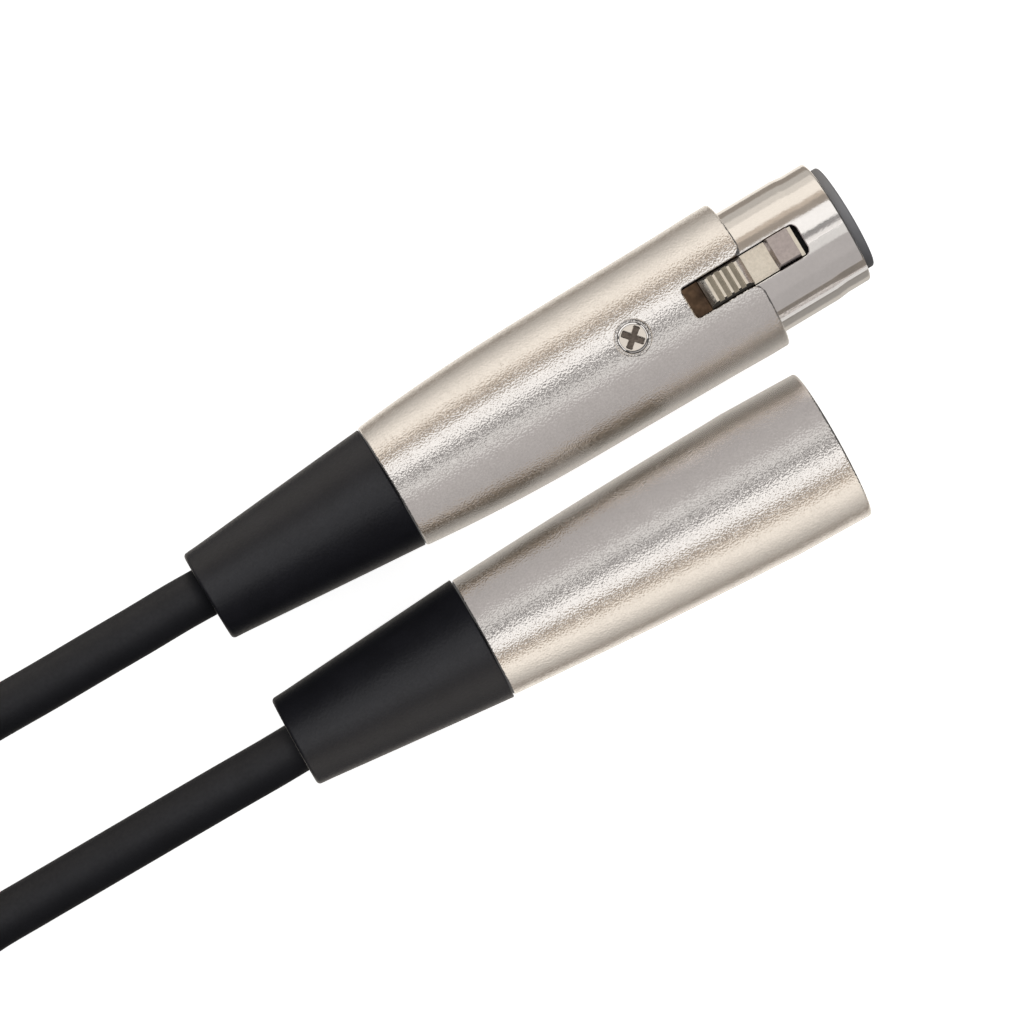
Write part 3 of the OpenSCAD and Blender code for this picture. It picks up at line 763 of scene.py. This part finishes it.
MATERIALS = {
    "satin_nickel": nickel("satin_nickel", (0.92, 0.885, 0.855), (0.88, 0.845, 0.815), 0.10, 4300, 0.000055, 0.09),
    "bright_nickel": nickel("bright_nickel", (0.89, 0.86, 0.835), (0.86, 0.83, 0.805), 0.1, 2500, 0.000006, 0.03),
    "latch_nickel": nickel("latch_nickel", (0.86, 0.82, 0.75), (0.80, 0.75, 0.68), 0.2, 2500, 0.00002, 0.08),
    # The tooth's nickel is painted darker: a painted reflection of a darker surround.
    "tooth_nickel_painted_dark": nickel("tooth_nickel_painted_dark", (0.55, 0.50, 0.50), (0.50, 0.45, 0.46), 0.2, 2500, 0.00002, 0.1),
    # Dark nickel: painted shade in the button's channel and sides and on the walls of the handle's slot.
    "nickel_painted_shade": nickel("nickel_painted_shade", (0.36, 0.33, 0.28), (0.28, 0.26, 0.22), 0.25, 2500, 0.00002, 0.15),
    # Dark brown nickel: painted shade in the deep end behind the button.
    "recess_painted_shade_brown": nickel("recess_painted_shade_brown", (0.16, 0.105, 0.07), (0.05, 0.035, 0.028), 0.3, 1500, 0.00002, 0.3),
    # Dark nickel: painted shade in the screws' crossed recesses.
    "screw_recess_painted_shade": nickel("screw_recess_painted_shade", (0.22, 0.19, 0.175), (0.11, 0.095, 0.085), 0.2, 3000, 0.00003, 0.3),
    "boot_rubber": matte_black("boot_rubber", (0.006, 0.006, 0.010), (0.010, 0.010, 0.015), 0.38, 0.50, 3200, 0.00004),
    "cable_jacket": matte_black("cable_jacket", (0.007, 0.007, 0.010), (0.011, 0.011, 0.015), 0.55, 0.68, 2500, 0.000016),
    "gasket_rubber": matte_black("gasket_rubber", (0.28, 0.28, 0.292), (0.31, 0.31, 0.324), 0.5, 0.65, 2500, 0.00001),
    "core_plastic": matte_black("core_plastic", (0.012, 0.012, 0.013), (0.018, 0.018, 0.019), 0.4, 0.5, 2500, 0.000006),
}
MATERIALS["contact_metal"] = MATERIALS["bright_nickel"]
for name, colour in (("bare_screen", (0.5, 0.5, 0.5)), ("red_wire", (0.4, 0.02, 0.015)), ("white_wire", (0.7, 0.7, 0.68))):
    MATERIALS[name] = matte_black(name, colour, colour, 0.35, 0.45, 1500, 0.000005)
MATERIALS["strap_fabric"] = matte_black("strap_fabric", (0.01, 0.01, 0.011), (0.02, 0.02, 0.021), 0.8, 0.95, 3000, 0.00005)


def dress(piece, *names):
    slot_numbers = [face.material_index for face in piece.data.polygons]
    piece.data.materials.clear()
    for name in names:
        piece.data.materials.append(MATERIALS[name])
    for face, slot_number in zip(piece.data.polygons, slot_numbers):
        face.material_index = min(slot_number, len(names) - 1)


for part in frame["record"]["subparts"]:
    dress(NODES[part["node"]], part["material_slot"])
dress(cord, "cable_jacket")
for name, row in PIECES.items():
    dress(shells[name], row[3])
# The walls of the handle's slot get painted shade.
dress(shells["female_handle_shell"], "satin_nickel", "nickel_painted_shade")
# The latch's tooth, the button's channel and sides and the deep end behind the button get painted shade.
dress(shells["female_latch_lever"], "latch_nickel", "tooth_nickel_painted_dark", "nickel_painted_shade", "recess_painted_shade_brown")
# The screws' crossed recesses get painted shade.
dress(shells["female_cross_screw"], "bright_nickel", "screw_recess_painted_shade")
dress(shells["male_cross_screw"], "bright_nickel", "screw_recess_painted_shade")
for piece in (strap, flap, stitches):
    dress(piece, "strap_fabric")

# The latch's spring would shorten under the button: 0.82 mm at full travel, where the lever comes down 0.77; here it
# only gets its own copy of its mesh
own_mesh(NODES["female_latch_spring"])

# ---- Floor and light ----

def add_floor():
    mesh = bmesh.new()
    bmesh.ops.create_grid(mesh, x_segments=8, y_segments=8, size=3.0)
    data = bpy.data.meshes.new("floor")
    mesh.to_mesh(data)
    mesh.free()
    floor = bpy.data.objects.new("floor", data)
    bpy.context.scene.collection.objects.link(floor)
    material, tree, shader = new_material("floor")
    shader.inputs["Base Color"].default_value = (0.95, 0.95, 0.95, 1)
    shader.inputs["Roughness"].default_value = 0.9
    shader.inputs["Specular IOR Level"].default_value = 0.1
    shader.inputs["Emission Color"].default_value = (1, 1, 1, 1)
    shader.inputs["Emission Strength"].default_value = 0.75
    data.materials.append(material)
    floor.visible_glossy = False
    floor.visible_diffuse = False
    return floor


LIGHT_DISTANCE = 0.8
LIGHT_LENGTH = 1.6


def panel_light(name, start, end, radiance, colour, receivers, blockers=None):
    """A long soft panel parallel to +X. start and end are the angles from straight up, towards -Y,
    in degrees, that it spans as the connectors see it."""
    middle = math.radians((start + end) / 2)
    data = bpy.data.lights.new(name, "AREA")
    data.shape = "RECTANGLE"
    data.size = LIGHT_LENGTH
    data.size_y = 2 * LIGHT_DISTANCE * math.tan(math.radians(abs(end - start) / 2))
    data.color = colour
    data.energy = radiance * data.size * data.size_y * math.pi
    light = bpy.data.objects.new(name, data)
    bpy.context.scene.collection.objects.link(light)
    direction = Vector((0, -math.sin(middle), math.cos(middle)))
    light.location = Vector((0, 0, 0.01)) + direction * LIGHT_DISTANCE
    across = direction.cross(Vector((1, 0, 0)))
    light.rotation_mode = "QUATERNION"
    light.rotation_quaternion = Matrix((
        (1, across.x, direction.x), (0, across.y, direction.y), (0, across.z, direction.z))).to_quaternion()
    light.light_linking.receiver_collection = receivers
    if blockers is not None:
        light.light_linking.blocker_collection = blockers
    return light


def group(name, objects):
    collection = bpy.data.collections.new(name)
    for o in objects:
        collection.objects.link(o)
    return collection


floor = add_floor()
floor.visible_shadow = False
FITTINGS = ["female_latch_lever", "female_cross_screw"]
RUBBER = ["female_boot_skin", "male_boot_skin", "female_gasket_face"]
side_pieces = {}
for side in ("female", "male"):
    carried = [o for n, o in NODES.items() if n.startswith(side + "_")]
    made = [o for n, o in shells.items() if n.startswith(side + "_")]
    side_pieces[side] = carried + made + ([cord] if side == "female" else [])

CREAM = (1.0, 0.93, 0.83)
WHITE = (1.0, 0.985, 0.965)
LILAC = (1.0, 0.945, 0.93)
BROWN = (1.0, 0.83, 0.66)
# Panels all round each connector, as (name, start, end, radiance, colour, lights the rubber too)
PANELS = [
    ("table_lit", -180, -144, 0.88, CREAM, True),
    ("brown_lit", -144, -122, 0.22, BROWN, False),
    ("cream_low", -122, -102, 0.44, CREAM, True),
    ("cream_mid", -102, -86, 0.68, CREAM, True),
    ("cream", -86, -60, 0.92, CREAM, True),
    ("cream_gap", -60, -51, 0.50, BROWN, True),
    ("brown_gap", -51, -37, 0.26, BROWN, False),
    ("white", -37, -8, 0.98, WHITE, True),
    ("overhead_gap", -6, 9, 0.22, LILAC, True),
    ("strip", 9, 27, 0.68, WHITE, True),
    ("lilac_near", 27, 60, 0.395, LILAC, False),
    ("lilac_far", 60, 92, 0.355, LILAC, False),
    ("brown_edge", 92, 103, 0.34, BROWN, False),
    ("brown_far", 103, 122, 0.12, BROWN, False),
    ("low_far", 122, 145, 0.24, CREAM, False),
    ("table_far", 145, 180, 0.50, CREAM, True),
]
# The connectors don't mirror each other, as each was lit on its own
for name in ("female_handle_shell", "male_handle_shell", "female_boot_skin", "male_boot_skin"):
    shells[name].visible_glossy = False
for side, sign in (("female", 1), ("male", -1)):
    fittings = {shells[n] for n in FITTINGS}
    rubber = {shells[n] for n in RUBBER} | {cord}
    pieces = side_pieces[side]
    blockers = group("blocks_" + side, pieces)
    metal = group("metal_" + side, [o for o in pieces if o not in fittings and o not in rubber])
    both = group("lit_" + side, [o for o in pieces if o not in fittings])
    for name, start, end, radiance, colour, lights_rubber in PANELS:
        panel_light(f"{name}_{side}", sign * start, sign * end, radiance, colour,
                    both if lights_rubber else metal, blockers)

fittings = group("fittings", [shells[n] for n in FITTINGS])
for name, tilt in (("fittings_rear", -88), ("fittings_front", 88)):
    end = panel_light(name, -28, 28, 1.0, WHITE, fittings)
    end.data.size = end.data.size_y = 1.1 * LIGHT_DISTANCE
    end.data.energy = end.data.size ** 2 * math.pi
    away = Vector((math.sin(math.radians(tilt)), 0, math.cos(math.radians(tilt))))
    end.location = Vector((0.03, 0.011, 0.018)) + away * LIGHT_DISTANCE
    end.rotation_quaternion = away.to_track_quat("Z", "Y")
panel_light("fittings_top", -34, 26, 0.72, CREAM, fittings)
panel_light("fittings_lit", -100, -50, 1.1, WHITE, fittings)
panel_light("fittings_far", 60, 100, 0.35, LILAC, fittings)
panel_light("nose_strip", 2, 10, 0.62, WHITE, group("nose", [shells["female_nose_tube"]]))
rubber_pieces = group("rubber", [shells[n] for n in RUBBER] + [cord])
panel_light("rubber_top", -20, 24, 0.40, (0.93, 0.95, 1.0), rubber_pieces)
panel_light("stage_key", -45, 45, 1.0, (1, 1, 1), group("stage", [floor, strap, flap, stitches]))

world = bpy.data.worlds.new("studio")
bpy.context.scene.world = world
world.use_nodes = True
world.node_tree.nodes["Background"].inputs["Color"].default_value = (1, 1, 1, 1)
world.node_tree.nodes["Background"].inputs["Strength"].default_value = 0.1
bpy.context.scene.view_settings.view_transform = "Standard"
